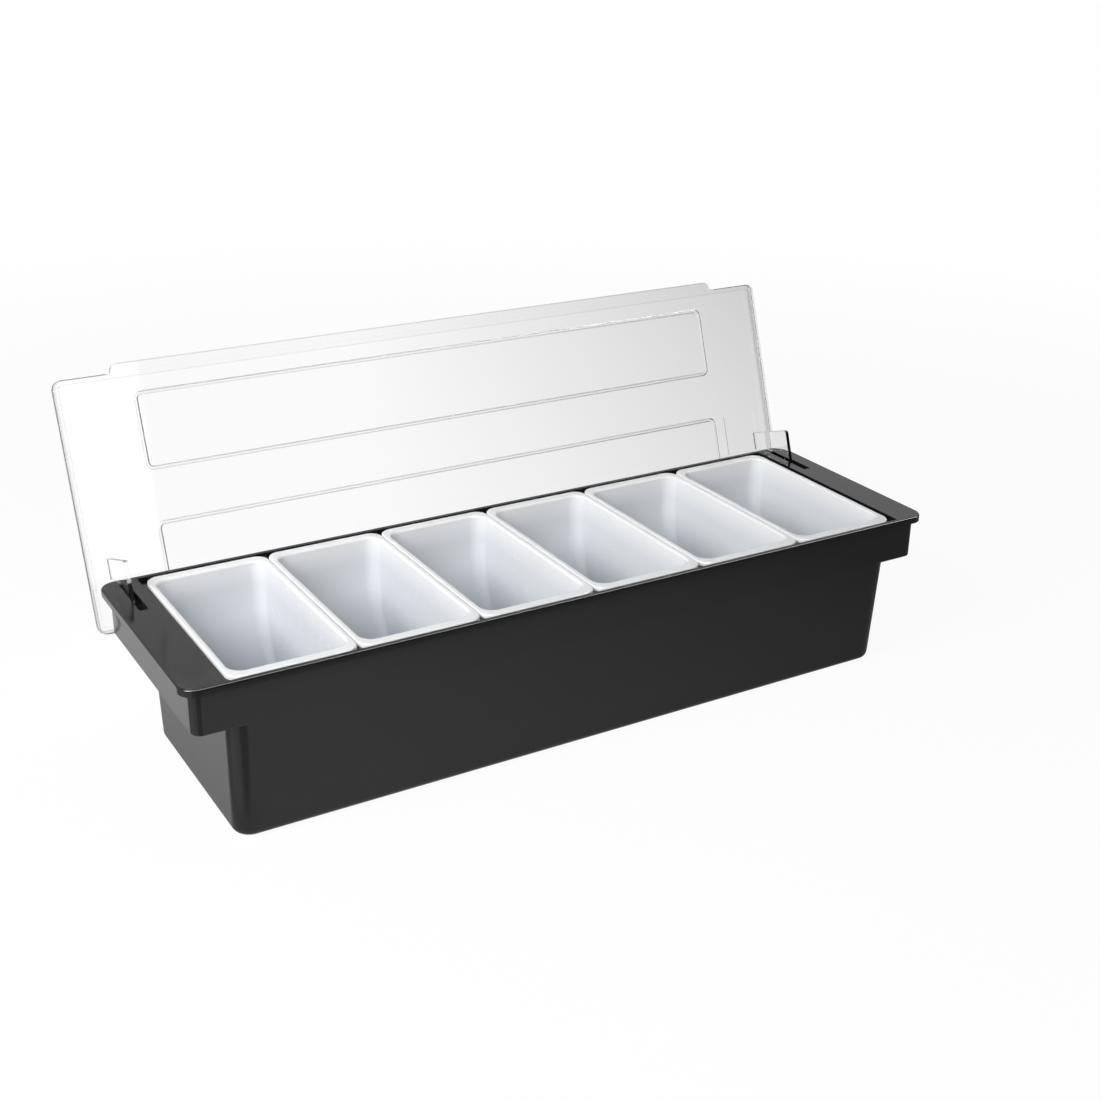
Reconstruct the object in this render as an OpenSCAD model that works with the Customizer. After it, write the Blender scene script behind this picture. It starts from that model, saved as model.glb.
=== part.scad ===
// Condiment holder: a long black tray with six lift-out cups and a clear hinged lid standing open.
// Millimetres, +Z up, origin at the centre of the tray's underside, front of the tray towards -Y.

/* [Tray] */
// length of the rim over its ends
tray_l = 500; // [470:1:520]
// width of the rim, front to back
tray_w = 152; // [148:1:160]
// height from the table to the top of the rim
tray_h = 101.4; // [98:0.1:125]
// plan radius of the rim's corners
rim_r = 10; // [4:0.5:12]
// thickness of the rim
rim_t = 4.3; // [4:0.1:6]
// rounding of the rim's upper edge
rim_edge_r = 1.2; // [0.8:0.1:1.4]
// how far the rim stands out past the front and back walls
rim_over = 4; // [3.5:0.1:5]
// how far the rim stands out past the hinge boxes at the two ends
rim_over_end = 5; // [3:0.5:6]
// depth of the hinge boxes below the top of the rim
box_h = 29.5; // [28:0.5:34]
// plan radius of the hinge boxes' outer corners
box_r = 5.5; // [4:0.5:9]
// rounding of the hinge boxes' lower edge
box_edge_r = 1.2; // [0.5:0.1:2]
// wall of the hinge boxes
box_wall = 2.2; // [1.6:0.1:2.4]
// how far the body's end walls stand in from the ends of the rim
body_inset = 25; // [24:0.5:26]
// plan radius of the body's corners
body_r = 11; // [8:0.5:16]
// rounding of the body's bottom edge
foot_r = 5; // [2:0.5:7]
// lean of the front and back walls below the hinge boxes, degrees
side_draft = 3.07; // [0.5:0.01:3.5]
// lean of the end walls below the hinge boxes, degrees
end_draft = 0.8; // [0.2:0.1:2]
// thickness of the front and back walls
side_wall = 2.8; // [2.5:0.1:3.2]
// thickness of the end walls
end_wall = 2.4; // [1.8:0.1:3.2]
// thickness of the floor
floor_t = 2.4; // [1.8:0.1:3.5]

/* [Cup seat] */
// ends of the opening that takes the cups, measured in from the ends of the rim
seat_end = 22.5; // [21.5:0.5:23]
// front edge of the opening, measured in from the rim's front edge
seat_front = 2.7; // [2.4:0.1:2.9]
// back edge of the opening, measured in from the rim's back edge
seat_back = 3.6; // [3:0.1:4]
// depth of the ledge below the top of the rim
seat_h = 2.3; // [2:0.1:2.6]
// plan radius of the opening's corners
seat_r = 1.5; // [1:0.5:4]

/* [Cups] */
// room left over in the length of the opening by the row of six cups
cup_room = 6.2; // [5:0.2:8]
// gap between the lips of neighbouring cups
cup_gap = 0.6; // [0.4:0.1:1.7]
// room between the cups' lips and the front edge of the opening
lip_front_gap = 1; // [0.4:0.1:1.3]
// room between the cups' lips and the back edge of the opening
lip_back_gap = 2.2; // [1:0.1:2.6]
// thickness of the lip
lip_t = 2.5; // [2.3:0.1:2.6]
// plan radius of the lip's corners
lip_r = 8; // [5:0.5:10]
// how far the lip stands out past the cup's long walls
lip_side = 2.2; // [2:0.1:3]
// how far the lip stands out past the cup's two rounded ends
lip_end = 5; // [4.5:0.1:6]
// wall of the cup
cup_wall = 1.7; // [1.4:0.1:2.2]
// rounding from the lip down into the cup
lip_round = 1.6; // [0.8:0.1:2]
// depth of the cup inside, below the top of its lip
cup_h = 81; // [74:0.5:86]
// lean of the cup's long walls, degrees
cup_draft = 2.6; // [1:0.1:3.2]
// inside radius of the cup's upright corners
cup_corner_r = 8; // [5:0.5:10]
// inside radius where the round bottom meets the long walls
cup_foot_r = 3.5; // [2.5:0.5:5]

/* [Lid] */
// how far the lid stands out past each end of the rim
lid_over_end = 1.5; // [1.3:0.1:2.5]
// how far the closed lid's front edge stands back from the front of the rim
lid_front_in = 3.3; // [2.5:0.1:4.5]
// plan radius of the lid's corners
lid_r = 5.5; // [5:0.5:12]
// thickness of the lid's sheet
lid_t = 2; // [1.6:0.1:2.6]
// rounding of the sheet's outer edge
lid_edge_r = 0.8; // [0.4:0.1:1]
// depth of the turned-down edge below the sheet
skirt_h = 3.6; // [3:0.1:3.8]
// thickness of the turned-down edge
skirt_t = 3; // [2:0.1:4]
// thickness of the turned-down edge along the hinge
skirt_back_t = 2; // [1.2:0.1:2.1]
// length beside the hinge over which the turned-down edge is thin and hangs outside the rim
skirt_start = 27; // [26:0.5:32]
// gap between that thin edge and the ends of the rim
skirt_side_gap = 0.4; // [0.3:0.1:0.6]
// gap between the turned-down edge and the rim with the lid closed
lid_gap = 0.5; // [0.4:0.1:0.7]
// how far the finger strip stands out past the lid's front edge
strip_w = 5.7; // [4:0.1:8]
// distance of the finger strip from the ends of the lid
strip_in = 32; // [27:0.5:46]
// corner radius of the finger strip
strip_r = 5; // [2:0.5:5.5]
// depth of the two pressed frames in the lid's top face
frame_h = 0.6; // [0.3:0.1:0.9]
// width of the pressed line
frame_t = 2.6; // [1.5:0.1:4]
// distance of the pressed frames from the ends of the lid
frame_end = 46; // [37:0.5:56]
// distance between the two pressed frames
frame_gap = 30.4; // [22:0.1:40]
// distance of a pressed frame from the lid's nearer long edge
frame_in = 12.1; // [9:0.1:16]
// corner radius of a pressed frame
frame_r = 5; // [4:0.5:10]

/* [Hinge] */
// how far the lid leans from closed to standing open, degrees
open_angle = 109.1; // [100:0.1:112]
// distance of the pivot in from the rim's back edge
pivot_in = 12; // [11.8:0.1:12.2]
// distance of the pivot below the top of the rim
pivot_h = 14.9; // [14.8:0.1:15.6]
// how far the closed lid's hinge edge stands past the rim's back edge
lid_over = 1.3; // [0.8:0.1:1.6]
// distance of the lid arm's outer face in from the end of the rim
arm_in = 11.3; // [11:0.1:11.8]
// thickness of the lid arm
arm_t = 2.5; // [2.2:0.1:2.8]
// far edge of the arm, measured forward from the hinge edge
arm_far = 43.5; // [41:0.5:44]
// how far the arms of the closed lid reach below the top of the rim
arm_deep = 34.5; // [33:0.5:35]
// radius of the arm around the pin
arm_r = 5.2; // [4.8:0.1:5.3]
// room between the opened arm and the back edge of the rim that stops it
stop_gap = 0.2; // [0.2:0.1:0.5]
// diameter of the hinge pin
pin_d = 6; // [5:0.1:6.4]
// room around the pin in its bore, on the diameter
pin_room = 0.2; // [0.2:0.1:0.4]
// length of the pin beyond the arm
pin_l = 2.6; // [2:0.1:3]
// outer edge of the slot, measured in from the end of the rim
slot_in = 10.8; // [10.3:0.1:10.9]
// width of the slot
slot_w = 5.2; // [5.1:0.1:5.4]
// back end of the slot, measured in from the rim's back edge
slot_back = 6.5; // [6.3:0.1:6.8]
// length of the slot
slot_l = 40.5; // [39:0.5:42]
// gap between the bearing block and the arm
block_gap = 0.7; // [0.5:0.1:0.9]

/* [Hidden] */
$fn = 48;
eps = 0.01;
cups = 6;
front = -tray_w / 2;
back = tray_w / 2;
wall_y = back - rim_over;
box_x = tray_l / 2 - rim_over_end;
body_x = tray_l / 2 - body_inset;
low_h = tray_h - box_h;
foot_y = wall_y - low_h * tan(side_draft);
foot_x = body_x - low_h * tan(end_draft);
in_y = wall_y - side_wall;
in_x = body_x - end_wall;
in_r = body_r - end_wall;
box_in_x = box_x - box_wall;
box_in_y = wall_y - box_wall;
seat_z = tray_h - seat_h;
seat_l = tray_l - 2 * seat_end;
seat_mid = (seat_front - seat_back) / 2;
seat_w = tray_w - seat_front - seat_back;
lip_l = seat_w - lip_front_gap - lip_back_gap;

cup_pitch = (seat_l - cup_room) / cups;
lip_w = cup_pitch - cup_gap;
cup_y = front + seat_front + lip_front_gap + lip_l / 2;
cup_z = seat_z + lip_t;
cup_out_x = lip_w / 2 - lip_side;
cup_out_y = lip_l / 2 - lip_end;

lid_l = tray_l + 2 * lid_over_end;
lid_w = tray_w + lid_over - lid_front_in;
frame_w = (lid_w - frame_gap) / 2 - frame_in;
strip_l = lid_l / 2 - strip_in;
frame_l = lid_l / 2 - frame_end;
lid_z = tray_h + lid_gap + skirt_h;
lid_back = back + lid_over;
lid_mid = lid_back - lid_w / 2;
pivot = [back - pivot_in, tray_h - pivot_h];
lean = [-cos(open_angle), sin(open_angle)];
open_edge = pivot + turn([lid_back, tray_h + lid_gap] - pivot, -open_angle);
stop_at = ([back - rim_edge_r, tray_h - rim_edge_r] - open_edge) * lean;
arm_near = stop_at + rim_edge_r + stop_gap;
arm_low = tray_h - arm_deep;
arm_corner = 2;
bar_gap = 0.4;
bar_back = closed([back - rim_edge_r + (rim_edge_r + stop_gap) * tan((open_angle - 90) / 2),
    tray_h + stop_gap]);
bar_front = closed([back - slot_back - bar_gap, tray_h + stop_gap]);
leg_front = [pivot[0] - 6.7, arm_low];
arm_x = tray_l / 2 - arm_in;
slot_x = tray_l / 2 - slot_in - slot_w;
block_x = arm_x + block_gap;
block_y = 7;
block_h = 7;
pad_t = 0.4;
pad_in = 26.2;
pad_far = 58.3;

// part to draw

function turn(p, a) = [p[0] * cos(a) - p[1] * sin(a), p[0] * sin(a) + p[1] * cos(a)];
// place on the closed lid of a point given where it stands with the lid open
function closed(p) = pivot + turn(p - pivot, open_angle);
// direction, seen from c, of the point where a line from q touches a circle of radius r round c
function touch(q, c, r, side) = atan2(q[1] - c[1], q[0] - c[0]) + side * acos(r / norm(q - c));
function arc(c, r, a, b, n) = [for (i = [0:n]) let(t = a + (b - a) * i / n) c + r * [cos(t), sin(t)]];

// flat rounded rectangle
module plan(l, w, r) {
    square([l - 2 * r, w], center = true);
    square([l, w - 2 * r], center = true);
    for (x = [-1, 1], y = [-1, 1])
        translate([x * (l / 2 - r), y * (w / 2 - r)])
            circle(r);
}

// plate with rounded corners and a rounded upper edge
module plate(l, w, r, t, e) {
    linear_extrude(t - e)
        plan(l, w, r);
    linear_extrude(t)
        plan(l - 2 * e, w - 2 * e, r - e);
    for (y = [-1, 1])
        translate([0, y * (w / 2 - e), t - e])
            rotate([0, 90, 0])
                cylinder(r = e, h = l - 2 * r, center = true);
    for (x = [-1, 1])
        translate([x * (l / 2 - e), 0, t - e])
            rotate([90, 0, 0])
                cylinder(r = e, h = w - 2 * r, center = true);
    for (x = [-1, 1], y = [-1, 1])
        translate([x * (l / 2 - r), y * (w / 2 - r), t - e])
            rotate_extrude()
                translate([r - e, 0])
                    circle(e);
}

// four posts with a rounded foot at the corners of a rectangle
module posts(x, y, z, r, e) {
    for (i = [-1, 1], j = [-1, 1])
        translate([i * (x - r), j * (y - r), z])
            rotate_extrude()
                translate([r - e, e])
                    circle(e, $fn = 24);
}

// four upright rounds at the corners of a rectangle
module rounds(x, y, z, r, h) {
    for (i = [-1, 1], j = [-1, 1])
        translate([i * (x - r), j * (y - r), z])
            cylinder(r = r, h = h);
}

module tray_outside() {
    translate([0, 0, tray_h - rim_t])
        plate(tray_l, tray_w, rim_r, rim_t, rim_edge_r);
    hull() {
        posts(box_x, wall_y, low_h, box_r, box_edge_r);
        rounds(box_x, wall_y, low_h + box_edge_r, box_r, box_h - box_edge_r - rim_t / 2);
    }
    hull() {
        posts(foot_x, foot_y, 0, body_r, foot_r);
        rounds(body_x, wall_y, low_h, body_r, (box_h - rim_t) / 2);
    }
}

module tray_inside() {
    hull() {
        posts(foot_x - end_wall, foot_y - side_wall, floor_t, in_r, foot_r - end_wall);
        rounds(in_x, in_y, low_h, in_r, box_h + 1);
    }
    translate([0, seat_mid, seat_z])
        linear_extrude(seat_h + 1)
            plan(seat_l, seat_w, seat_r);
}

// open spaces under the rim at the two ends, between the end walls and the skirts
module box_spaces() {
    translate([0, 0, low_h - 1])
        linear_extrude(box_h - rim_t + 1)
            difference() {
                plan(2 * box_in_x, 2 * box_in_y, box_r - box_wall);
                square([2 * body_x, 2 * wall_y], center = true);
            }
}

module slot() {
    translate([slot_x, back - slot_back - slot_l, tray_h - rim_t - 1])
        cube([slot_w, slot_l, rim_t + 2]);
}

// bearing block inside the hinge box, hanging from the rim
module block() {
    difference() {
        translate([block_x, pivot[0] - block_y, pivot[1] - block_h])
            cube([box_x - box_wall / 2 - block_x, wall_y - box_wall / 2 - pivot[0] + block_y,
                tray_h - rim_t + eps - pivot[1] + block_h]);
        translate([block_x - 1, pivot[0], pivot[1]])
            rotate([0, 90, 0])
                cylinder(d = pin_d + pin_room, h = box_in_x - block_x + 1);
    }
}

module tray() {
    color([0.03, 0.03, 0.035]) {
        difference() {
            tray_outside();
            tray_inside();
            box_spaces();
            for (s = [0, 1])
                mirror([s, 0, 0])
                    slot();
        }
        for (s = [0, 1])
            mirror([s, 0, 0])
                block();
    }
}

// side outline of the cup from its front top edge, round the bottom, to its back top edge;
// upright entries are [side, height, flare], entries round the bottom are [angle, 0, 0]
function cup_path(drop, flare, n, m) = concat(
    [for (i = [m:-1:0]) [-1, drop - flare + flare * sin(flare_a(i, m)), flare * (1 - cos(flare_a(i, m)))]],
    [for (i = [0:n]) [180 + 180 * i / n, 0, 0]],
    [for (i = [0:m]) [1, drop - flare + flare * sin(flare_a(i, m)), flare * (1 - cos(flare_a(i, m)))]]
);
function flare_a(i, m) = m == 0 ? 0 : 90 * i / m;

function turned(f, way) = way > 0 ? f : [for (i = [len(f) - 1:-1:0]) f[i]];

// a closed cup-shaped solid: half-round bottom, upright ends, leaning long walls;
// hx, hy half width and half length, top z of its upper face, n steps round the bottom,
// m steps in the flare, k steps in each corner
module cup_solid(hx, hy, top, depth, draft, r_top, r_low, flare, n, m, k) {
    drop = depth - hy;
    mid = top - drop;
    path = cup_path(drop, flare, n, m);
    c = len(path);
    // corner radius shrinks from the upright ends to the bottom
    function rr(p) = abs(p[0]) == 1 ? r_top : r_low + (r_top - r_low) * pow(abs(cos(p[0])), 3);
    function at(p, inset) =
        abs(p[0]) == 1
            ? [p[0] * (hy - inset + p[2]), mid + p[1]]
            : [(hy - inset) * cos(p[0]), mid + (hy - inset) * sin(p[0])];
    function pt(p, s, a) =
        let(r = rr(p), q = at(p, r * (1 - sin(a))),
            lean_in = (top - q[1]) * tan(draft),
            x = hx - r + r * cos(a) + (abs(p[0]) == 1 ? p[2] : 0) - lean_in)
        [s * x, q[0], q[1]];
    rows = concat(
        [for (j = [0:k]) [-1, 90 * j / k]],
        [for (j = [k:-1:0]) [1, 90 * j / k]]
    );
    points = [for (w = rows) for (p = path) pt(p, w[0], w[1])];
    last = len(rows) - 1;
    skin = [for (j = [0:last - 1]) for (i = [0:c - 2])
        let(a = j * c + i, b = a + 1, d = a + c, e = d + 1)
        each [[a, d, b], [b, d, e]]];
    top_face = concat([for (j = [last:-1:0]) j * c], [for (j = [0:last]) j * c + c - 1]);
    walls = [for (w = [[0, 1], [last * c, -1]])
        each concat(
            [turned([for (i = [m:c - 1 - m]) w[0] + i], w[1])],
            [for (i = [0:m - 1]) turned([w[0] + i, w[0] + i + 1, w[0] + c - 2 - i, w[0] + c - 1 - i], w[1])]
        )];
    polyhedron(points = points, faces = concat(skin, walls, [top_face]), convexity = 4);
}

module cup(i) {
    color([0.93, 0.94, 0.95])
        translate([(i - (cups + 1) / 2) * cup_pitch, cup_y, 0])
            difference() {
                union() {
                    translate([0, 0, cup_z - lip_t])
                        linear_extrude(lip_t)
                            plan(lip_w, lip_l, lip_r);
                    cup_solid(cup_out_x, cup_out_y, cup_z - eps, cup_h + cup_wall, cup_draft,
                        cup_corner_r + cup_wall, cup_foot_r + cup_wall, 0, 20, 0, 3);
                }
                cup_solid(cup_out_x - cup_wall, cup_out_y - cup_wall, cup_z + eps, cup_h, cup_draft,
                    cup_corner_r, cup_foot_r, lip_round, 26, 3, 4);
            }
}

module insert_1() {
    cup(1);
}

module insert_2() {
    cup(2);
}

module insert_3() {
    cup(3);
}

module insert_4() {
    cup(4);
}

module insert_5() {
    cup(5);
}

module insert_6() {
    cup(6);
}

// the lid's sheet with its finger strip, lying closed
module lid_sheet() {
    translate([0, lid_mid, lid_z])
        plate(lid_l, lid_w, lid_r, lid_t, lid_edge_r);
    tip = lid_mid - lid_w / 2 - strip_w;
    translate([0, 0, lid_z])
        linear_extrude(lid_t) {
            polygon([
                [-strip_l, tip + strip_w + skirt_t],
                [-strip_l, tip + strip_w],
                [-strip_l + skirt_t, tip + strip_r],
                [-strip_l + skirt_t + strip_r, tip],
                [strip_l - skirt_t - strip_r, tip],
                [strip_l - skirt_t, tip + strip_r],
                [strip_l, tip + strip_w],
                [strip_l, tip + strip_w + skirt_t]
            ]);
            for (s = [-1, 1])
                translate([s * (strip_l - skirt_t - strip_r), tip + strip_r])
                    circle(strip_r);
        }
}

// turned-down edge all round the sheet
module lid_skirt() {
    side = tray_l / 2 + skirt_side_gap;
    translate([0, 0, tray_h + lid_gap])
        linear_extrude(skirt_h + eps)
            difference() {
                translate([0, lid_mid])
                    plan(lid_l, lid_w, lid_r);
                translate([0, lid_mid + (skirt_t - skirt_back_t) / 2])
                    plan(lid_l - 2 * skirt_t, lid_w - skirt_t - skirt_back_t, lid_r - skirt_t);
                translate([-side, lid_back - skirt_start])
                    square([2 * side, skirt_start - skirt_back_t]);
            }
}

// one pressed line, closed into a rounded frame
module frame_line(y) {
    translate([0, y, lid_z + lid_t - frame_h])
        linear_extrude(frame_h + 1)
            difference() {
                plan(2 * frame_l, frame_w, frame_r);
                plan(2 * (frame_l - frame_t), frame_w - 2 * frame_t, frame_r - frame_t);
            }
}

// side view of the arm that reaches down to the pin, drawn with the lid closed
module arm_side() {
    far = lid_back - arm_far;
    top = lid_z + lid_t / 2;
    polygon(concat(
        [[far, top], [bar_back[0], top], bar_back, bar_front],
        arc(pivot, arm_r, 360 + touch(bar_front, pivot, arm_r, -1), touch(leg_front, pivot, arm_r, 1), 20),
        [leg_front],
        arc([far + arm_corner, arm_low + arm_corner], arm_corner, 270, 180, 6)
    ));
}

// one arm with its pin
module arm() {
    translate([arm_x - arm_t, 0, 0])
        rotate([90, 0, 90])
            linear_extrude(arm_t)
                arm_side();
    translate([arm_x - eps, pivot[0], pivot[1]])
        rotate([0, 90, 0])
            cylinder(d = pin_d, h = pin_l + eps);
    translate([arm_x - pad_in, lid_back - pad_far, lid_z - pad_t])
        cube([pad_in, pad_far - arm_near, pad_t + eps]);
}

module lid() {
    color([0.85, 0.88, 0.9, 0.35])
        translate([0, pivot[0], pivot[1]])
            rotate([-open_angle, 0, 0])
                translate([0, -pivot[0], -pivot[1]]) {
                    difference() {
                        lid_sheet();
                        for (s = [-1, 1])
                            frame_line(lid_mid + s * (lid_w / 2 - frame_in - frame_w / 2));
                    }
                    lid_skirt();
                    for (s = [0, 1])
                        mirror([s, 0, 0])
                            arm();
                }
}

tray();
insert_1();
insert_2();
insert_3();
insert_4();
insert_5();
insert_6();
lid();
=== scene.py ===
import math

import bmesh
import bpy
from mathutils import Matrix, Vector


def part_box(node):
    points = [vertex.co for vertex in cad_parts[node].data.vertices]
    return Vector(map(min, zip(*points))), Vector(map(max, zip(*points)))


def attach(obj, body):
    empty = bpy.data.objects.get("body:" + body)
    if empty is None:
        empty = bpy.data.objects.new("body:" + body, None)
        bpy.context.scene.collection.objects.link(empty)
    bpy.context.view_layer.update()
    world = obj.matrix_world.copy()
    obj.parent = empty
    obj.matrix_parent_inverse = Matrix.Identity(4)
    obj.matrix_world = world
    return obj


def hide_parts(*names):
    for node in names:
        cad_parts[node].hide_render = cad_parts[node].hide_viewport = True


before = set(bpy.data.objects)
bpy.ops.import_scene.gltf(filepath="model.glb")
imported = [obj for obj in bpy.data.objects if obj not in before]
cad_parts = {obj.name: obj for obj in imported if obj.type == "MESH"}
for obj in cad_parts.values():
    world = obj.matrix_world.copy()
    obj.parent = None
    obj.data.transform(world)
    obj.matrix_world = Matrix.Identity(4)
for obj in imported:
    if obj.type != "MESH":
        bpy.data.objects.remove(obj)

bl_info = {
    "name": "Condiment holder",
    "version": (1, 0, 0),
    "blender": (4, 5, 0),
    "location": "3D View > Sidebar > Holder",
    "description": "Dresses a bar condiment holder: glossy black tray, milky cups and a clear hinged lid",
    "category": "Object",
}

CUPS = [f"insert_{i}" for i in range(1, 7)]
TRAY_LOW, TRAY_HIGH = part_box("tray")
CUP_LOW, CUP_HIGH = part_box(CUPS[0])
NEXT_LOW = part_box(CUPS[1])[0]

# Mesh work. Points nearer than WELD are one, and faces that lean less than FLAT are one face.
WELD = 2e-6
FLAT = math.radians(0.6)
SHARP = math.radians(38)
BEVEL_FROM = math.radians(50)
BEVEL_STEPS = 2
# Cosine of the lean up to which a face lies with the lid's sheet, and up to which it stands on it.
LEVEL = 0.99
UPRIGHT = 0.3
# Share of the groove's depth by which a face may be off, and of the broad face's area that a top has.
GROOVE_SLACK = 0.1
TOP_SHARE = 0.1
# Faces of the lid this near to its broad face, across the sheet, belong to the sheet.
SHEET_NEAR = 0.003
# Places and sizes of the two soft lamps, the point they face, and the point the camera looks at.
KEY_SIZE, KEY_PLACE = (0.9, 0.9), (-1.15, -0.35, 1.0)
FILL_SIZE, FILL_PLACE = (1.2, 0.8), (-0.3, -1.6, 0.62)
LAMP_AIM = (0.0, 0.0, 0.08)
CAMERA_AIM = (0.05307, 0.07175, TRAY_HIGH[2] - 0.04)
SENSOR_WIDTH = 36.0
VIEW_END = 50.0
# Brightest card that the painted reflection pattern, glowing in the floor, can hold.
CARD_TOP = 3.0
BLACK, WHITE = (0.0, 0.0, 0.0), (1.0, 1.0, 1.0)


def length(name, description, default):
    """A size in metres, shown in the scene's own units."""
    return bpy.props.FloatProperty(
        name=name, description=description, default=default, min=0.0,
        unit="LENGTH", subtype="DISTANCE", precision=5)


def colour(name, description, default):
    """A linear colour."""
    return bpy.props.FloatVectorProperty(
        name=name, description=description, default=default,
        size=3, min=0.0, max=1.0, subtype="COLOR")


def amount(name, description, default, top=1.0):
    """A plain number from nought to top."""
    return bpy.props.FloatProperty(
        name=name, description=description, default=default, min=0.0, max=top)


def angle(name, description, default):
    """An angle, given in degrees and kept in radians."""
    return bpy.props.FloatProperty(
        name=name, description=description, default=math.radians(default),
        unit="ROTATION", subtype="ANGLE")


class TraySettings(bpy.types.PropertyGroup):
    """Finish of the black tray"""

    plastic: colour("Plastic", "Colour of the black plastic", (0.006, 0.006, 0.0065))
    gloss: amount("Roughness", "How soft the tray's reflections are", 0.09)
    uneven: amount("Uneven gloss", "How far the roughness changes from speck to speck", 0.04)
    speck: amount("Specks", "Fineness of the specks, per metre", 420.0, 1000.0)
    ripple: length("Ripple", "Height of the faint waves in the moulded surface", 0.0001)
    waves: amount("Waves", "Closeness of those waves, per metre", 14.0, 100.0)
    pale: amount("Pale waves", "Brightness of the palest waves against the plastic", 1.25, 2.0)
    edge: length("Edge", "Rounding of the moulded edges", 0.0003)


class CupSettings(bpy.types.PropertyGroup):
    """Sizes and finish of the cups"""

    pitch: length("Pitch", "Spacing of the cups", NEXT_LOW[0] - CUP_LOW[0])
    lip: length("Lip", "Thickness of the flat lip", 0.0025)
    lip_corner: length("Lip corner", "Plan radius of the lip's corners", 0.008)
    lip_side: length("Lip side", "How far the lip stands out past the long walls", 0.0022)
    lip_end: length("Lip end", "How far the lip stands out past the round ends", 0.005)
    lip_edge: length("Lip edge", "Rounding of the lip's outer edge", 0.0009)
    wall: length("Wall", "Thickness of the cup's wall", 0.0017)
    mouth: length("Mouth", "Rounding from the lip down into the cup", 0.0016)
    corner: length("Corner", "Inside radius of the upright corners", 0.008)
    foot: length("Foot", "Inside radius between the round bottom and the long walls", 0.0035)
    draft: angle("Draft", "Lean of the long walls", 2.6)
    rim: colour("Rim", "Colour of the lip, where light passes through both faces", (0.88, 0.885, 0.895))
    # Painted shade: inside and bottom are the lip's white, darkened and made bluer for the shade in the cup
    # and the dark tray behind its thin walls.
    inside: colour("Inside", "Colour of the thin walls with the dark tray behind them", (0.76, 0.785, 0.82))
    bottom: colour("Bottom", "Colour of the round bottom", (0.50, 0.53, 0.58))
    lip_deep: length("Lip colour", "Depth down to which the lip's colour is plain", 0.00375)
    lip_fade: length("Lip fade", "Height in which the lip's colour turns into the walls'", 0.012)
    shade_start: length("Bottom start", "Depth below that at which the bottom's colour begins", 0.03)
    shade_fade: length("Bottom fade", "Height in which the bottom's colour takes over", 0.035)
    milk: amount("Light through", "Share of the light that comes through the walls", 0.12)
    shine: amount("Shine", "Strength of the mirror-like reflection", 0.12)
    gloss: amount("Roughness", "How soft the cups' reflections are", 0.24)
    uneven: amount("Uneven gloss", "How far the roughness changes from speck to speck", 0.05)
    speck: amount("Specks", "Fineness of the specks, per metre", 300.0, 1000.0)


class LidSettings(bpy.types.PropertyGroup):
    """Finish of the clear lid, and the sizes that its edges are found by"""

    plastic: colour("Plastic", "Tint of the clear plastic", (0.996, 0.997, 0.998))
    # Painted shade: the edges' grey tint stands in for the dark lines that refraction draws in clear
    # plastic.
    edge_shade: colour("Edges", "Tint of the clear plastic at its edges and steps", (0.74, 0.75, 0.76))
    gloss: amount("Roughness", "How soft the lid's reflections are", 0.02)
    soft: amount("Edge roughness", "How soft the light through the edges and steps is", 0.3)
    fold: amount("Fold tint", "How far the fold line of the turned-down edge takes the edges' tint", 0.22)
    outer: amount("Border tint", "How far the sheet outside that fold takes it", 0.1)
    least: amount("Least edge tint", "Least share of the edges' tint on the edges and steps", 0.8)
    waves: amount("Edge waves", "Closeness of the changes of that share, per metre", 6.0, 100.0)
    density: amount("Index", "Refractive index of the clear plastic", 1.49, 3.0)
    edge: length("Edge", "Rounding of the moulded edges", 0.0005)
    groove: length("Groove", "Depth of the pressed frames", 0.0006)
    slope: length("Slope", "How far the pressed frames' sides lean in at their bottom", 0.0009)
    border: length("Border", "Width of the rounded border along the sheet's outline", 0.0009)
    corner: length("Corner", "Radius of the sheet's corners", 0.0055)
    strip: length("Finger strip", "How far the finger strip stands out", 0.0057)
    strip_in: length("Strip inset", "From the sheet's end to the finger strip's end", 0.032)
    skirt: length("Turned-down edge", "Thickness of the turned-down edge", 0.003)
    narrow: length("Narrow face", "Area over outline up to which a leaning face is an edge", 0.0022)
    lean: angle("Least lean", "Lean against the sheet from which a face can be an edge", 12.0)


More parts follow.
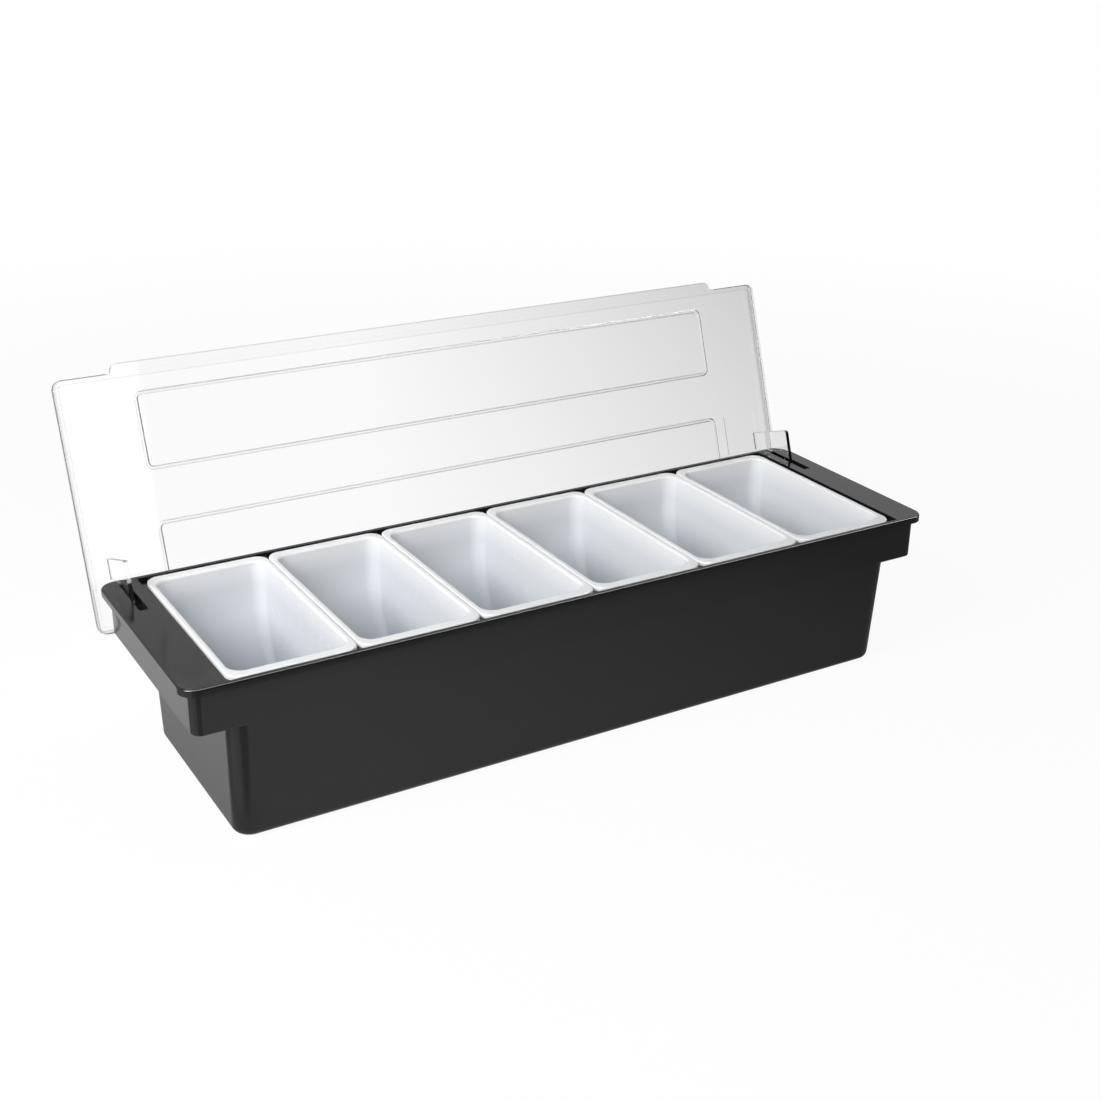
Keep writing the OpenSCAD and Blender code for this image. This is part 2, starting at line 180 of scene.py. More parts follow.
class StageSettings(bpy.types.PropertyGroup):
    """Camera, lamps, floor and what shows in gloss"""

    yaw: angle("Yaw", "Turn of the camera to the left of the front", 31.01)
    pitch: angle("Pitch", "Height of the camera above the horizon", 23.33)
    roll: angle("Roll", "Tilt of the camera", 0.85)
    distance: length("Distance", "From the camera to the point it looks at", 1.06974)
    lens: bpy.props.FloatProperty(
        name="Lens", description="Focal length in millimetres", default=51.72, min=10.0, max=200.0)
    floor: colour("Floor", "Colour of the floor", (0.86, 0.86, 0.86))
    reach: length("Reach", "Half width of the floor", 6.0)
    key: amount("Key", "Power of the soft lamp at the left, in watts", 22.5, 500.0)
    fill: amount("Fill", "Power of the low lamp in front, in watts", 7.0, 500.0)
    sky: amount("Sky", "Strength of the light from all round", 0.3, 5.0)
    # Painted reflection: the backdrop, ceiling and window below show only in gloss, the window as a painted
    # highlight; backdrop and ceiling show also through clear plastic.
    wall: amount("Backdrop in gloss", "How bright the backdrop shows in gloss", 0.7)
    wall_top: amount("Backdrop top", "Height of the direction in which the backdrop has ended", 0.75)
    wall_fade: amount("Backdrop fade", "Height in which it fades out, in the direction", 0.3)
    wall_side: amount("Backdrop side", "Width in which it fades out towards the front", 0.5)
    ceiling: amount("Ceiling", "How bright the rest of the room shows in gloss", 0.1)
    window: amount("Window in gloss", "How bright the long window overhead shows in gloss", 26.0, 50.0)
    window_far: amount("Window front", "How far the window reaches to the front, in the direction", 0.3)
    window_near: amount("Window back", "Where it begins at the back, in the direction", 0.1)
    window_edge: amount("Window edge", "Softness of its long edges", 0.04)
    window_low: amount("Window foot", "Height of the direction at which it starts", 0.25)
    window_fade: amount("Window fade", "Height in which it comes to the full, in the direction", 0.25)
    white: amount("White floor", "How far the floor is plain white near the object", 0.93)
    # Painted light and shade: the floor seen through clear plastic glows brighter than white and loses that
    # towards the right, so the lid is lighter at the left and greyer at the right.
    through: amount("Floor through the lid", "Brightness of the floor through clear plastic", 1.03, 2.0)
    aside: amount("Floor aside", "How far that brightness is lost at the right", 0.45)
    aside_lean: amount("Aside lean", "How far the line where the loss begins leans back", 0.43)
    aside_from: length("Aside from", "Distance of that line to the left of the middle", 0.12)
    aside_run: length("Aside run", "Width in which the loss takes full effect", 0.6)
    # Painted reflection: in gloss the floor is mostly glowing cards, a bright one past the left end and
    # dimmer ones in front, dim between them and dark beyond their reach.
    shine: amount("Floor in gloss", "How far the floor in gloss is the cards and not the floor", 0.8)
    card_end: amount("End card", "Brightness of the card that the left end mirrors", 1.12, 10.0)
    end_near: amount("End card near", "Share of that brightness right at the corner", 0.4)
    end_run: length("End card run", "Distance from the corner in which it comes to the full", 0.125)
    end_lean: amount("End card lean", "How far its front edge falls back per metre to the left", 2.0, 10.0)
    end_soft: length("End card edge", "Softness of that edge", 0.04)
    end_past: length("End card past", "How far it fades out past the corner", 0.03)
    card_front: amount("Front card", "Brightness at its left of the card that the front mirrors", 0.60, 10.0)
    card_right: amount("Front card right", "Brightness of that card at its right", 0.10, 10.0)
    front_lean: amount("Front card lean", "How far its left edge runs aside per metre ahead", 0.05)
    front_soft: length("Front card edge", "Softness of that edge", 0.02)
    front_from: length("Front card from", "Distance from the corner at which it starts to dim", 0.1)
    front_run: length("Front card run", "Distance in which it dims", 0.45)
    side_lean: amount("Side card lean", "How far its right edge runs aside per metre ahead", 1.05, 10.0)
    side_back: amount("Side card back", "How far its back edge falls back per metre to the left", 0.45)
    side_soft: length("Side card edge", "Softness of its edges", 0.03)
    gap: amount("Between the cards", "Brightness between the cards", 0.18, 10.0)
    card_reach: length("Reach of the cards", "How far the cards reach to the front of the corner", 0.181)
    reach_soft: length("Reach edge", "Softness of the cards' front edge", 0.004)
    corner_x: length("Corner aside", "From the middle to the left front corner, along the row", 0.225)
    corner_y: length("Corner ahead", "From the middle to the left front corner, towards the front", 0.07)
    near: length("Plain reach", "Distance from the object within which the floor is plainest", 0.7)


class Wire:
    """A socket that sums, products and quotients can be written with."""

    def __init__(self, build, socket):
        self.build = build
        self.socket = socket

    def _math(self, operation, a, b=None):
        values = {0: a} if b is None else {0: a, 1: b}
        return self.build.node("ShaderNodeMath", {"operation": operation}, values)

    def __add__(self, other):
        return self._math("ADD", self, other)

    __radd__ = __add__

    def __sub__(self, other):
        return self._math("SUBTRACT", self, other)

    def __rsub__(self, other):
        return self._math("SUBTRACT", other, self)

    def __mul__(self, other):
        return self._math("MULTIPLY", self, other)

    __rmul__ = __mul__

    def __truediv__(self, other):
        return self._math("DIVIDE", self, other)

    def size(self):
        """Without its sign."""
        return self._math("ABSOLUTE", self)

    def greater(self, b):
        """The greater of the two."""
        return self._math("MAXIMUM", self, b)

    def lesser(self, b):
        """The lesser of the two."""
        return self._math("MINIMUM", self, b)

    def clamped(self):
        """Kept between 0 and 1."""
        return self.build.node("ShaderNodeClamp", {}, {0: self})


class Build:
    """Makes the nodes of one material or world."""

    def __init__(self, owner):
        owner.use_nodes = True
        world = isinstance(owner, bpy.types.World)
        self.output = "ShaderNodeOutputWorld" if world else "ShaderNodeOutputMaterial"
        self.tree = owner.node_tree
        self.tree.nodes.clear()

    def node(self, kind, settings, inputs, output=0):
        """A node of that kind; its settings are made first, then its inputs set or linked."""
        made = self.tree.nodes.new(kind)
        for key, value in settings.items():
            setattr(made, key, value)
        for key, value in inputs.items():
            socket = made.inputs[key]
            if isinstance(value, Wire):
                self.tree.links.new(value.socket, socket)
            else:
                socket.default_value = value
        if not made.outputs:
            return None
        return Wire(self, made.outputs[output])

    def mix(self, factor, a, b):
        """Colour a where factor is 0 and b where it is 1."""
        a, b = (c if isinstance(c, Wire) else (*c, 1.0) for c in (a, b))
        return self.node("ShaderNodeMix", {"data_type": "RGBA"}, {0: factor, 6: a, 7: b}, 2)

    def place(self, axis, kind="Object"):
        """A coordinate of the piece in metres or, in a world, of the direction."""
        spot = self.node("ShaderNodeTexCoord", {}, {}, kind)
        return self.node("ShaderNodeSeparateXYZ", {}, {0: spot}, axis)

    def noise(self, scale, detail=2.0):
        """A soft random pattern fixed to the piece."""
        spot = self.node("ShaderNodeTexCoord", {}, {}, "Object")
        return self.node("ShaderNodeTexNoise", {}, {"Vector": spot, "Scale": scale, "Detail": detail})

    def rounded(self, x, y, half, radius):
        """Distance outside a rounded rectangle of those half sizes; less than 0 inside."""
        x, y = (p.size() - (h - radius) for p, h in zip((x, y), half))
        beyond_x, beyond_y = x.greater(0.0), y.greater(0.0)
        corner = self.node("ShaderNodeMath", {"operation": "POWER"}, {
            0: beyond_x * beyond_x + beyond_y * beyond_y, 1: 0.5})
        return corner + x.greater(y).lesser(0.0) - radius

    def bump(self, height, distance):
        """A surface that the height pattern raises by up to distance."""
        return self.node("ShaderNodeBump", {}, {"Height": height, "Distance": distance, "Strength": 1.0})

    def glow(self, tint, strength):
        """A surface that shines by itself."""
        tint = tint if isinstance(tint, Wire) else (*tint, 1.0)
        return self.node("ShaderNodeEmission", {}, {"Color": tint, "Strength": strength})

    def blend(self, factor, a, b):
        """Shader a where factor is 0 and b where it is 1."""
        return self.node("ShaderNodeMixShader", {}, {0: factor, 1: a, 2: b})

    def path(self, name):
        """1 for the rays of that kind, such as those straight from the camera."""
        return self.node("ShaderNodeLightPath", {}, {}, name)

    def surface(self, shader):
        """Ends the material or world with that shader."""
        self.node(self.output, {}, {"Surface": shader})


def black_plastic(s):
    """Glossy black moulded plastic with faint sink waves."""
    material = bpy.data.materials.new("black_plastic")
    build = Build(material)
    waves = build.noise(s.waves)
    speck = build.noise(s.speck)
    shader = build.node("ShaderNodeBsdfPrincipled", {}, {
        "Base Color": build.mix(waves, s.plastic, tuple(s.pale * c for c in s.plastic)),
        "Roughness": s.gloss + s.uneven * speck,
        "Normal": build.bump(waves, s.ripple),
    })
    build.surface(shader)
    return material


def milky_plastic(s):
    """Milky plastic: plain in the thick lip, with painted shade below it: darker and bluer down the thin
    walls and greyer at the bottom, where shade falls in the cup and the dark tray shows through.
    """
    material = bpy.data.materials.new("milky_plastic")
    build = Build(material)
    # Painted shade: the colour darkens with depth, from the lip down to the round bottom.
    depth = CUP_HIGH[2] - s.lip_deep - build.place("Z")
    upper = build.mix((depth / s.lip_fade).clamped(), s.rim, s.inside)
    low = ((depth - s.shade_start) / s.shade_fade).clamped()
    shader = build.node("ShaderNodeBsdfPrincipled", {}, {
        "Base Color": build.mix(low, upper, s.bottom),
        "Roughness": s.gloss + s.uneven * build.noise(s.speck),
        "Specular IOR Level": s.shine,
    })
    through = build.node("ShaderNodeBsdfTranslucent", {}, {"Color": (*s.rim, 1.0)})
    build.surface(build.blend(s.milk, shader, through))
    return material


def sheet_outline(s, obj):
    """The way up the sheet, its middle, and the half sizes of the sheet and of its finger strip."""
    sheet = max(obj.data.polygons, key=lambda face: face.area)
    up = Vector((1.0, 0.0, 0.0)).cross(sheet.normal)
    up = up if up.z > 0 else -1.0 * up
    flat = [face for face in obj.data.polygons if abs(face.normal.dot(sheet.normal)) > LEVEL]
    level = sheet.center.dot(sheet.normal)
    near = [face for face in flat if abs(face.center.dot(sheet.normal) - level) < SHEET_NEAR]
    spots = [obj.data.vertices[i].co for face in near for i in face.vertices]
    low, high = (pick(spot.dot(up) for spot in spots) for pick in (min, max))
    half_x = max(abs(spot.x) for spot in spots)
    half_up = 0.5 * (high - s.strip - low)
    return up, low + half_up, (half_x, half_up), (half_x - s.strip_in, half_up + s.strip)


def clear_plastic(s, name, outline=None):
    """Clear glossy plastic: with an outline the sheet, greyer along it; without one its edges. The grey is
    painted shade in place of the dark lines that refraction draws at the lid's edges and steps.
    """
    material = bpy.data.materials.new(name)
    build = Build(material)
    if outline:
        up, middle, plate, strip = outline
        across = build.place("X")
        along = build.place("Y") * up.y + build.place("Z") * up.z - middle
        # Painted shade: grey lines along the outline, the finger strip, the fold and the border outside it.
        inside = build.rounded(across, along, plate, s.corner)
        edge = inside.lesser(build.rounded(across, along, strip, s.corner))
        line = ((edge + s.border) / (0.5 * s.border)).clamped()
        fold = (1.0 - (inside + s.skirt).size() / s.border).clamped()
        band = ((inside + s.skirt) / s.border).clamped()
        share = (line + s.fold * fold + s.outer * band).clamped()
    else:
        share = s.least + (1.0 - s.least) * build.noise(s.waves)
    shader = build.node("ShaderNodeBsdfPrincipled", {}, {
        "Base Color": build.mix(share, s.plastic, s.edge_shade),
        "Roughness": s.gloss if outline else s.soft,
        "IOR": s.density,
        "Transmission Weight": 1.0,
    })
    build.surface(shader)
    return material


def finish_mesh(obj):
    """Smooth shading with the sharp edges kept."""
    mesh = bmesh.new()
    mesh.from_mesh(obj.data)
    mesh.normal_update()
    for face in mesh.faces:
        face.smooth = True
    for edge in mesh.edges:
        edge.smooth = not (edge.is_manifold and edge.calc_face_angle() > SHARP)
    mesh.to_mesh(obj.data)
    mesh.free()
    even = obj.modifiers.new("even", "WEIGHTED_NORMAL")
    even.keep_sharp = True


def moulded_copy(node, edge):
    """The CAD node's shape as one welded skin, its edges rounded."""
    shape = bmesh.new()
    shape.from_mesh(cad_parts[node].data)
    bmesh.ops.remove_doubles(shape, verts=shape.verts, dist=WELD)
    bmesh.ops.dissolve_limit(shape, angle_limit=FLAT, verts=shape.verts, edges=shape.edges)
    mesh = bpy.data.meshes.new(f"{node}_skin")
    shape.to_mesh(mesh)
    shape.free()
    obj = bpy.data.objects.new(f"{node}_skin", mesh)
    bpy.context.scene.collection.objects.link(obj)
    bevel = obj.modifiers.new("edges", "BEVEL")
    bevel.width = edge
    bevel.segments = BEVEL_STEPS
    bevel.limit_method = "ANGLE"
    bevel.angle_limit = BEVEL_FROM
    finish_mesh(obj)
    return obj


def wear(obj, *materials):
    """Give obj those materials and no others."""
    obj.data.materials.clear()
    for material in materials:
        obj.data.materials.append(material)


def slope_grooves(obj, depth, run):
    """Lean the upright sides of the shallow grooves in, so that their bottoms are narrower.

    A side counts only where it comes down from one of the broad faces, so the pins keep their shape.
    """
    shape = bmesh.new()
    shape.from_mesh(obj.data)
    shape.normal_update()
    sheet = max(shape.faces, key=lambda face: face.calc_area()).normal.copy()
    areas = {}
    for face in shape.faces:
        if abs(face.normal.dot(sheet)) > LEVEL:
            level = round(face.verts[0].co.dot(sheet), 4)
            areas[level] = areas.get(level, 0.0) + face.calc_area()
    broad = TOP_SHARE * max(areas.values())
    slack = GROOVE_SLACK * depth
    moves = {}
    for face in shape.faces:
        levels = [vert.co.dot(sheet) for vert in face.verts]
        low, high = min(levels), max(levels)
        if abs(face.normal.dot(sheet)) > UPRIGHT or abs(high - low - depth) > slack:
            continue
        bottom, top = sorted((low, high), key=lambda level: areas.get(round(level, 4), 0.0))
        if areas.get(round(top, 4), 0.0) < broad:
            continue
        for vert, level in zip(face.verts, levels):
            if abs(level - bottom) < slack:
                moves.setdefault(vert, set()).add(tuple(round(c, 3) for c in face.normal))
    for vert, normals in moves.items():
        way = sum((Vector(normal) for normal in normals), Vector())
        vert.co += run * way.normalized()
    shape.to_mesh(obj.data)
    shape.free()


def mark_edges(obj, lean, narrow):
    """The second material, grey with painted edge shade, on the bevels and on every narrow face turned away
    from the broad sheet.
    """
    shape = bmesh.new()
    shape.from_mesh(obj.data)
    sheet = max(shape.faces, key=lambda face: face.calc_area()).normal.copy()
    for face in shape.faces:
        turned = abs(face.normal.dot(sheet)) < math.cos(lean)
        if turned and face.calc_area() < narrow * face.calc_perimeter():
            face.material_index = 1
    shape.to_mesh(obj.data)
    shape.free()
    for modifier in obj.modifiers:
        if modifier.type == "BEVEL":
            modifier.material = 1


class HOLDER_OT_tray(bpy.types.Operator):
    """Make the black tray's skin"""

    bl_idname = "holder.tray"
    bl_label = "Tray"

    def execute(self, context):
        s = context.scene.holder_tray
        tray = moulded_copy("tray", s.edge)
        wear(tray, black_plastic(s))
        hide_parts("tray")
        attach(tray, "tray")
        return {"FINISHED"}


def cup_rows(steps):
    """Side and corner angle of each line of points that runs round under the cup."""
    turns = [0.5 * math.pi * j / steps for j in range(steps + 1)]
    return [(-1, a) for a in turns] + [(1, a) for a in reversed(turns)]


class CupShape:
    """One cup as a closed skin: inside, lip and outside, joined ring by ring."""

    # Steps round the bottom, round a corner and over the lip's edges
    ROUND = 48
    CORNER = 7
    EDGE = 5
    # How fast the corners' radius runs out into the foot's, down the round ends
    RUN_OUT = 3

    def __init__(self, s):
        self.s = s
        self.rows = cup_rows(self.CORNER)
        self.verts = []
        self.faces = []
        self.top = CUP_HIGH[2]
        self.middle = 0.5 * (CUP_LOW[1] + CUP_HIGH[1])
        self.half_x = 0.5 * (CUP_HIGH[0] - CUP_LOW[0])
        self.half_y = 0.5 * (CUP_HIGH[1] - CUP_LOW[1])

    def ring(self, half_x, half_y, radius, z):
        """A rounded rectangle of points at height z, front first; returns their numbers."""
        first = len(self.verts)
        for way in (-1, 1):
            rows = self.rows if way < 0 else list(reversed(self.rows))
            for side, turn in rows:
                x = side * (half_x - radius + radius * math.cos(turn))
                y = way * (half_y - radius * (1 - math.sin(turn)))
                self.verts.append((x, self.middle + y, z))
        return list(range(first, len(self.verts)))

    def join(self, a, b):
        """Faces between two rings."""
        n = len(a)
        self.faces += [(a[i], a[(i + 1) % n], b[(i + 1) % n], b[i]) for i in range(n)]

    def bowl(self, half_x, half_y, corner, foot, depth, start, outward):
        """The walls and round bottom below height start; returns the ring of its top edge."""
        lean = math.tan(self.s.draft)
        centre = self.top - depth + half_y
        bend = [(math.pi + math.pi * i / self.ROUND, None) for i in range(self.ROUND + 1)]
        path = [(-1.0, start), *bend, (1.0, start)]
        count = len(path)
        first = len(self.verts)
        for side, turn in self.rows:
            for place, z in path:
                upright = z is not None
                drop = 1.0 if upright else abs(math.cos(place)) ** self.RUN_OUT
                radius = foot + (corner - foot) * drop
                inset = radius * (1 - math.sin(turn))
                if upright:
                    y, height = place * (half_y - inset), z
                else:
                    y = (half_y - inset) * math.cos(place)
                    height = centre + (half_y - inset) * math.sin(place)
                x = half_x - radius + radius * math.cos(turn) - (self.top - height) * lean
                self.verts.append((side * x, self.middle + y, height))
        last = len(self.rows) - 1
        for j in range(last):
            for i in range(count - 1):
                a = first + j * count + i
                quad = (a, a + 1, a + 1 + count, a + count)
                self.faces.append(quad if outward else quad[::-1])
        left = [first + i for i in range(count)]
        right = [first + last * count + i for i in range(count)]
        self.faces.append(tuple(left[::-1] if outward else left))
        self.faces.append(tuple(right if outward else right[::-1]))
        front = [first + j * count for j in range(last + 1)]
        back = [first + j * count + count - 1 for j in range(last, -1, -1)]
        return front + back

    def mesh(self):
        """The whole cup, its faces outward."""
        s = self.s
        lean = math.tan(s.draft)
        out_x, out_y = self.half_x - s.lip_side, self.half_y - s.lip_end
        in_x, in_y = out_x - s.wall, out_y - s.wall
        depth = self.top - CUP_LOW[2]
        inside = self.bowl(in_x, in_y, s.corner, s.foot, depth - s.wall, self.top - s.mouth, False)
        rings = [inside]
        for i in range(1, self.EDGE + 1):
            turn = 0.5 * math.pi * i / self.EDGE
            grow = s.mouth * (1 - math.cos(turn))
            z = self.top - s.mouth + s.mouth * math.sin(turn)
            rings.append(self.ring(in_x + grow - (self.top - z) * lean, in_y + grow, s.corner + grow, z))
        for i in range(self.EDGE + 1):
            turn = 0.5 * math.pi * i / self.EDGE
            pull = s.lip_edge * (1 - math.sin(turn))
            z = self.top - s.lip_edge * (1 - math.cos(turn))
            rings.append(self.ring(self.half_x - pull, self.half_y - pull, s.lip_corner - pull, z))
        under = self.top - s.lip
        rings.append(self.ring(self.half_x, self.half_y, s.lip_corner, under))
        for a, b in zip(rings, rings[1:]):
            self.join(a, b)
        outside = self.bowl(out_x, out_y, s.corner + s.wall, s.foot + s.wall, depth, under, True)
        self.join(rings[-1], outside)
        made = bpy.data.meshes.new("cup")
        made.from_pydata(self.verts, [], self.faces)
        made.update()
        fix = bmesh.new()
        fix.from_mesh(made)
        bmesh.ops.recalc_face_normals(fix, faces=fix.faces)
        fix.to_mesh(made)
        fix.free()
        return made


def row_tree(material):
    """Geometry nodes that lay one cup out along a row."""
    tree = bpy.data.node_groups.new("cup_row", "GeometryNodeTree")
    face = tree.interface
    face.new_socket(name="Cup", in_out="INPUT", socket_type="NodeSocketGeometry")
    face.new_socket(name="Count", in_out="INPUT", socket_type="NodeSocketInt")
    face.new_socket(name="Pitch", in_out="INPUT", socket_type="NodeSocketFloat")
    face.new_socket(name="Row", in_out="OUTPUT", socket_type="NodeSocketGeometry")
    nodes, links = tree.nodes, tree.links
    given = nodes.new("NodeGroupInput")
    out = nodes.new("NodeGroupOutput")
    step = nodes.new("ShaderNodeCombineXYZ")
    centre = nodes.new("ShaderNodeVectorMath")
    centre.operation = "SCALE"
    half = nodes.new("ShaderNodeMath")
    half.operation = "MULTIPLY_ADD"
    half.inputs[1].default_value = -0.5
    half.inputs[2].default_value = 0.5
    line = nodes.new("GeometryNodeMeshLine")
    line.mode = "OFFSET"
    lay = nodes.new("GeometryNodeInstanceOnPoints")
    real = nodes.new("GeometryNodeRealizeInstances")
    paint = nodes.new("GeometryNodeSetMaterial")
    paint.inputs["Material"].default_value = material
    links.new(given.outputs["Pitch"], step.inputs["X"])
    links.new(given.outputs["Count"], half.inputs[0])
    links.new(step.outputs[0], centre.inputs[0])
    links.new(half.outputs[0], centre.inputs["Scale"])
    links.new(given.outputs["Count"], line.inputs["Count"])
    links.new(centre.outputs[0], line.inputs["Start Location"])
    links.new(step.outputs[0], line.inputs["Offset"])
    links.new(line.outputs[0], lay.inputs["Points"])
    links.new(given.outputs["Cup"], lay.inputs["Instance"])
    links.new(lay.outputs[0], real.inputs[0])
    links.new(real.outputs[0], paint.inputs["Geometry"])
    links.new(paint.outputs[0], out.inputs[0])
    return tree


def laid_out(obj, tree, values):
    """The plain mesh that the tree makes of obj; obj itself is used up."""
    modifier = obj.modifiers.new("row", "NODES")
    modifier.node_group = tree
    for item in tree.interface.items_tree:
        if item.item_type == "SOCKET" and item.name in values:
            modifier[item.identifier] = values[item.name]
    graph = bpy.context.evaluated_depsgraph_get()
    mesh = bpy.data.meshes.new_from_object(obj.evaluated_get(graph))
    bpy.data.objects.remove(obj)
    return mesh


def part_of(mesh, low, high, name):
    """A copy of the mesh that keeps only the faces between x = low and x = high."""
    shape = bmesh.new()
    shape.from_mesh(mesh)
    away = [v for v in shape.verts if not low < v.co.x < high]
    bmesh.ops.delete(shape, geom=away, context="VERTS")
    made = bpy.data.meshes.new(name)
    shape.to_mesh(made)
    shape.free()
    for material in mesh.materials:
        made.materials.append(material)
    obj = bpy.data.objects.new(name, made)
    bpy.context.scene.collection.objects.link(obj)
    return obj


class HOLDER_OT_cups(bpy.types.Operator):
    """Make the row of cups"""

    bl_idname = "holder.cups"
    bl_label = "Cups"

    def execute(self, context):
        s = context.scene.holder_cups
        single = bpy.data.objects.new("cup", CupShape(s).mesh())
        context.scene.collection.objects.link(single)
        row = laid_out(single, row_tree(milky_plastic(s)), {"Count": len(CUPS), "Pitch": s.pitch})
        for i, node in enumerate(CUPS):
            middle = (i - 0.5 * (len(CUPS) - 1)) * s.pitch
            cup = part_of(row, middle - 0.5 * s.pitch, middle + 0.5 * s.pitch, f"{node}_cup")
            finish_mesh(cup)
            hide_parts(node)
            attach(cup, "tray")
        return {"FINISHED"}


class HOLDER_OT_lid(bpy.types.Operator):
    """Make the clear lid's skin"""

    bl_idname = "holder.lid"
    bl_label = "Lid"

    def execute(self, context):
        s = context.scene.holder_lid
        lid = moulded_copy("lid", s.edge)
        outline = sheet_outline(s, lid)
        wear(lid, clear_plastic(s, "clear_plastic", outline), clear_plastic(s, "clear_edges"))
        slope_grooves(lid, s.groove, s.slope)
        mark_edges(lid, s.lean, s.narrow)
        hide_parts("lid")
        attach(lid, "lid")
        return {"FINISHED"}


def lamp(name, power, size, place, aim):
    """A soft lamp of that length and height at place, facing aim."""
    light = bpy.data.lights.new(name, "AREA")
    light.shape = "RECTANGLE"
    light.size, light.size_y = size
    light.energy = power
    obj = bpy.data.objects.new(name, light)
    bpy.context.scene.collection.objects.link(obj)
    away = Vector(place) - Vector(aim)
    obj.matrix_world = Matrix.Translation(place) @ away.to_track_quat("Z", "Y").to_matrix().to_4x4()
    return obj


def painted_reflection_cards(s, build):
    """Painted reflection: what gloss mirrors in the floor is a glowing pattern, a bright card past the left
    end and dimmer ones in front.
    """
    right = build.place("X") + s.corner_x
    ahead = -1.0 * (build.place("Y") + s.corner_y)
    end = ((right * s.end_lean - ahead) / s.end_soft + 0.5).clamped()
    end = end * ((s.end_past - right) / s.end_past).clamped()
    far = (right * (-1.0 / s.end_run)).clamped()
    front = ((right - ahead * s.front_lean) / s.front_soft + 0.5).clamped()
    dim = ((right - s.front_from) / s.front_run).clamped()
    side = ((right * -1.0 - ahead * s.side_lean) / s.side_soft + 0.5).clamped()
    side = side * ((ahead - right * s.side_back) / s.side_soft + 0.5).clamped()
    bright = (s.gap
              + end * (s.card_end * (s.end_near + (1.0 - s.end_near) * far) - s.gap)
              + front * (1.0 - end) * (s.card_front - s.gap + (s.card_right - s.card_front) * dim)
              + side * (1.0 - end) * (s.card_front - s.gap))
    return bright * ((s.card_reach - ahead) / s.reach_soft).clamped()


def floor_finish(s):
    """Pale floor, white where it is seen, with the object's shadow kept. In gloss it glows with painted
    reflection cards, and through clear plastic with painted light that dims to the right.
    """
    material = bpy.data.materials.new("floor")
    build = Build(material)
    spot = build.node("ShaderNodeTexCoord", {}, {}, "Object")
    away = build.node("ShaderNodeVectorMath", {"operation": "LENGTH"}, {0: spot}, "Value")
    far = ((away - s.near) / s.near).clamped()
    direct = s.white + (1.0 - s.white) * far
    # Painted light and shade on the lid: the glow seen through clear plastic fades past this leaning line
    # towards the right.
    line = build.place("X") - build.place("Y") * s.aside_lean + s.aside_from
    aside = (line / s.aside_run).clamped()
    through = build.path("Is Transmission Ray") * (1.0 - s.aside * aside)
    pale = build.node("ShaderNodeBsdfDiffuse", {}, {"Color": (*s.floor, 1.0)})
    # Painted reflection: the cards glow in the floor for gloss rays only.
    grey = build.mix((painted_reflection_cards(s, build) / CARD_TOP).clamped(), BLACK, WHITE)
    reflection_glow = build.blend(build.path("Is Glossy Ray") * s.shine, pale, build.glow(grey, CARD_TOP))
    behind = build.blend(through, reflection_glow, build.glow(WHITE, s.through))
    build.surface(build.blend(build.path("Is Camera Ray") * direct, behind, build.glow(WHITE, 1.0)))
    return material


def white_world(s):
    """White backdrop and a soft light on the object. In gloss and through clear plastic a dimmer room shows,
    and in gloss alone a long glowing window overhead: painted reflection, with the window a painted
    highlight that shows only in reflections.
    """
    world = bpy.data.worlds.new("studio")
    build = Build(world)
    across, up = build.place("Y", "Generated"), build.place("Z", "Generated")
    shiny = (build.path("Is Glossy Ray") + build.path("Is Transmission Ray")).clamped()
    low = ((s.wall_top - up) / s.wall_fade).clamped()
    behind = (across / s.wall_side + 0.5).clamped()
    # Painted highlight: a long glowing window overhead, seen in gloss only.
    window = ((across + s.window_far) / s.window_edge).clamped()
    window = window * ((-s.window_near - across) / s.window_edge).clamped()
    window = window * ((up - s.window_low) / s.window_fade).clamped()
    # Painted reflection: a dim ceiling, with the backdrop brighter low and behind.
    shown = s.ceiling + (s.wall - s.ceiling) * low * behind
    shown = shown + s.window * window * build.path("Is Glossy Ray")
    light = s.sky + shiny * (shown - s.sky)
    strength = light + build.path("Is Camera Ray") * (1.0 - light)
    white = build.node("ShaderNodeBackground", {}, {"Color": (*WHITE, 1.0), "Strength": strength})
    build.surface(white)
    return world


def photo_camera(s):
    """Camera at the photograph's viewing angle."""
    data = bpy.data.cameras.new("camera")
    data.sensor_width = SENSOR_WIDTH
    data.lens = s.lens
    data.clip_end = VIEW_END
    obj = bpy.data.objects.new("camera", data)
    bpy.context.scene.collection.objects.link(obj)
    flat = math.cos(s.pitch)
    back = Vector((-math.sin(s.yaw) * flat, -math.cos(s.yaw) * flat, math.sin(s.pitch)))
    right = Vector((math.cos(s.yaw), -math.sin(s.yaw), 0.0))
    up = back.cross(right)
    across = math.cos(s.roll) * right + math.sin(s.roll) * up
    upright = -math.sin(s.roll) * right + math.cos(s.roll) * up
    turn = Matrix((across, upright, back)).transposed().to_4x4()
    obj.matrix_world = Matrix.Translation(Vector(CAMERA_AIM) + s.distance * back) @ turn
    bpy.context.scene.camera = obj
    return obj


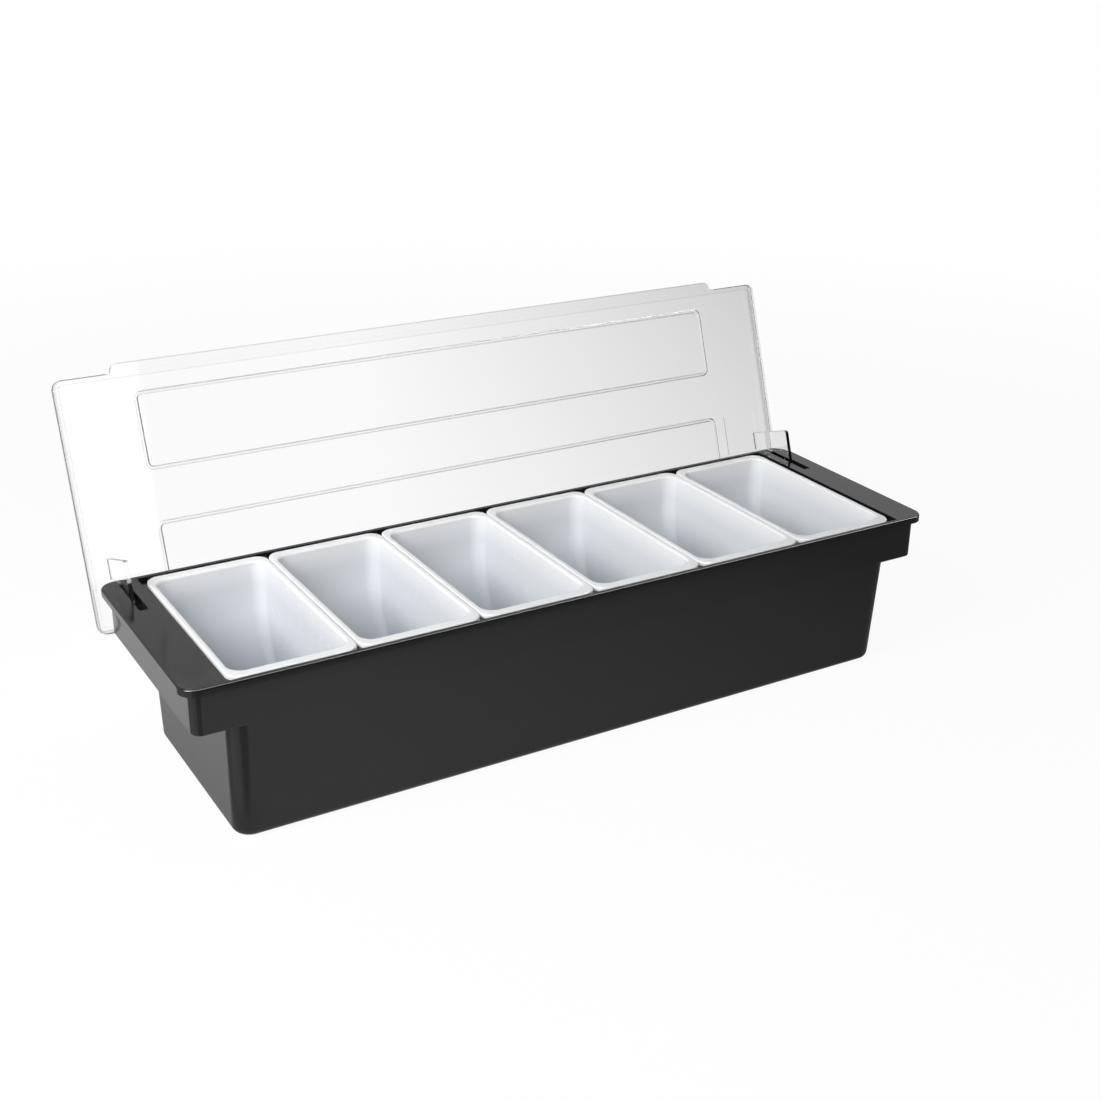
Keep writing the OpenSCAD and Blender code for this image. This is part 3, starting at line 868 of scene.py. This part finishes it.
class HOLDER_OT_stage(bpy.types.Operator):
    """Set the floor, the light and the camera"""

    bl_idname = "holder.stage"
    bl_label = "Stage"

    def execute(self, context):
        s = context.scene.holder_stage
        mesh = bpy.data.meshes.new("floor")
        r, z = s.reach, TRAY_LOW[2]
        mesh.from_pydata([(-r, -r, z), (r, -r, z), (r, r, z), (-r, r, z)], [], [(0, 1, 2, 3)])
        floor = bpy.data.objects.new("floor", mesh)
        context.scene.collection.objects.link(floor)
        wear(floor, floor_finish(s))
        key = lamp("key", s.key, KEY_SIZE, KEY_PLACE, LAMP_AIM)
        fill = lamp("fill", s.fill, FILL_SIZE, FILL_PLACE, LAMP_AIM)
        fill.visible_glossy = False
        context.scene.world = white_world(s)
        camera = photo_camera(s)
        context.scene.view_settings.view_transform = "Standard"
        return {"FINISHED"}


class HOLDER_PT_panel(bpy.types.Panel):
    """Sizes and finishes of the holder"""

    bl_idname = "HOLDER_PT_panel"
    bl_label = "Condiment holder"
    bl_space_type = "VIEW_3D"
    bl_region_type = "UI"
    bl_category = "Holder"

    def draw(self, context):
        for name, (operator, _) in GROUPS.items():
            box = self.layout.box()
            box.operator(operator.bl_idname)
            settings = getattr(context.scene, name)
            for key in settings.__annotations__:
                box.prop(settings, key)


GROUPS = {
    "holder_tray": (HOLDER_OT_tray, TraySettings),
    "holder_cups": (HOLDER_OT_cups, CupSettings),
    "holder_lid": (HOLDER_OT_lid, LidSettings),
    "holder_stage": (HOLDER_OT_stage, StageSettings),
}


def register():
    """Add the settings, the operators and the panel."""
    for name, (operator, settings) in GROUPS.items():
        bpy.utils.register_class(settings)
        bpy.utils.register_class(operator)
        setattr(bpy.types.Scene, name, bpy.props.PointerProperty(type=settings))
    bpy.utils.register_class(HOLDER_PT_panel)


def unregister():
    """Take them away again."""
    bpy.utils.unregister_class(HOLDER_PT_panel)
    for name, (operator, settings) in reversed(GROUPS.items()):
        delattr(bpy.types.Scene, name)
        bpy.utils.unregister_class(operator)
        bpy.utils.unregister_class(settings)


def main():
    """Dress the whole holder."""
    register()
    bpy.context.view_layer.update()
    bpy.ops.holder.tray()
    bpy.ops.holder.cups()
    bpy.ops.holder.lid()
    bpy.ops.holder.stage()


if __name__ == "__main__":
    main()
